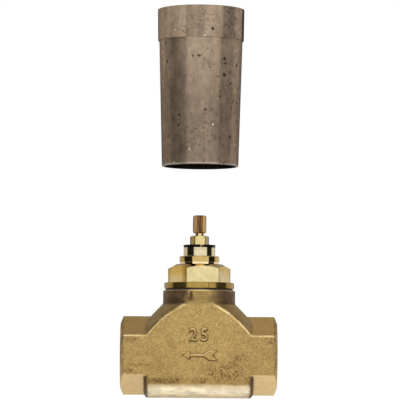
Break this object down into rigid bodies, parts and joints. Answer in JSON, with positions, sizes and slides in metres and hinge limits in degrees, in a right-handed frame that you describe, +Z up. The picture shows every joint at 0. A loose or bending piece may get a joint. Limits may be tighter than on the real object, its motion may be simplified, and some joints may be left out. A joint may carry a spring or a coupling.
{
  "type": "concealed stop valve",
  "caption": "Concealed stop valve: forged brass body with threaded sockets, hexagon headpart with a splined spindle, and a tapered plastic sleeve that keeps plaster off it, shown lifted off.",
  "frame": {"origin": "on the spindle's axis, at the underside of the foot that the valve stands on", "axes": "+Z up the spindle, +X along the pipe towards the inlet, water runs along -X, -Y is the marked front"},
  "size_m": [0.0888, 0.0496, 0.222],
  "materials": {
    "forged_brass": "rough forged",
    "turned_brass": "bright turned",
    "spindle_brass": "tarnished turned",
    "black_steel": "black phosphated",
    "black_rubber": "matte",
    "slip_plastic": "satin",
    "stainless_steel": "turned",
    "sleeve_plastic": "speckled recycled plastic, satin"
  },
  "bodies": {
    "valve": {"valve_body": "forged_brass", "bonnet_gasket": "black_rubber", "bonnet": "turned_brass", "thrust_washer": "slip_plastic"},
    "spindle": {"spindle": "spindle_brass", "lower_stem_seal": "black_rubber", "upper_stem_seal": "black_rubber", "retaining_clip": "black_steel"},
    "cone": {"valve_cone": "turned_brass", "cone_seal": "black_rubber", "seat_washer": "black_rubber", "washer_plate": "stainless_steel", "washer_screw": "stainless_steel"},
    "sleeve": {"plaster_sleeve": "sleeve_plastic"}
  },
  "joints": [
    {"name": "spindle_turn", "type": "hinge", "parent": "valve", "child": "spindle", "pos_m": [0, 0, 0.086], "axis": [0, 0, 1], "range_deg": [0, 900]},
    {"name": "cone_lift", "type": "slide", "parent": "valve", "child": "cone", "axis": [0, 0, 1], "range_m": [0, 0.005]},
    {"name": "sleeve_lift", "type": "slide", "parent": "valve", "child": "sleeve", "axis": [0, 0, 1], "range_m": [-0.0782, 0]}
  ],
  "couplings": [
    {"joint": "spindle_turn", "follows": "cone_lift", "rad_per_m": 3141.6}
  ]
}
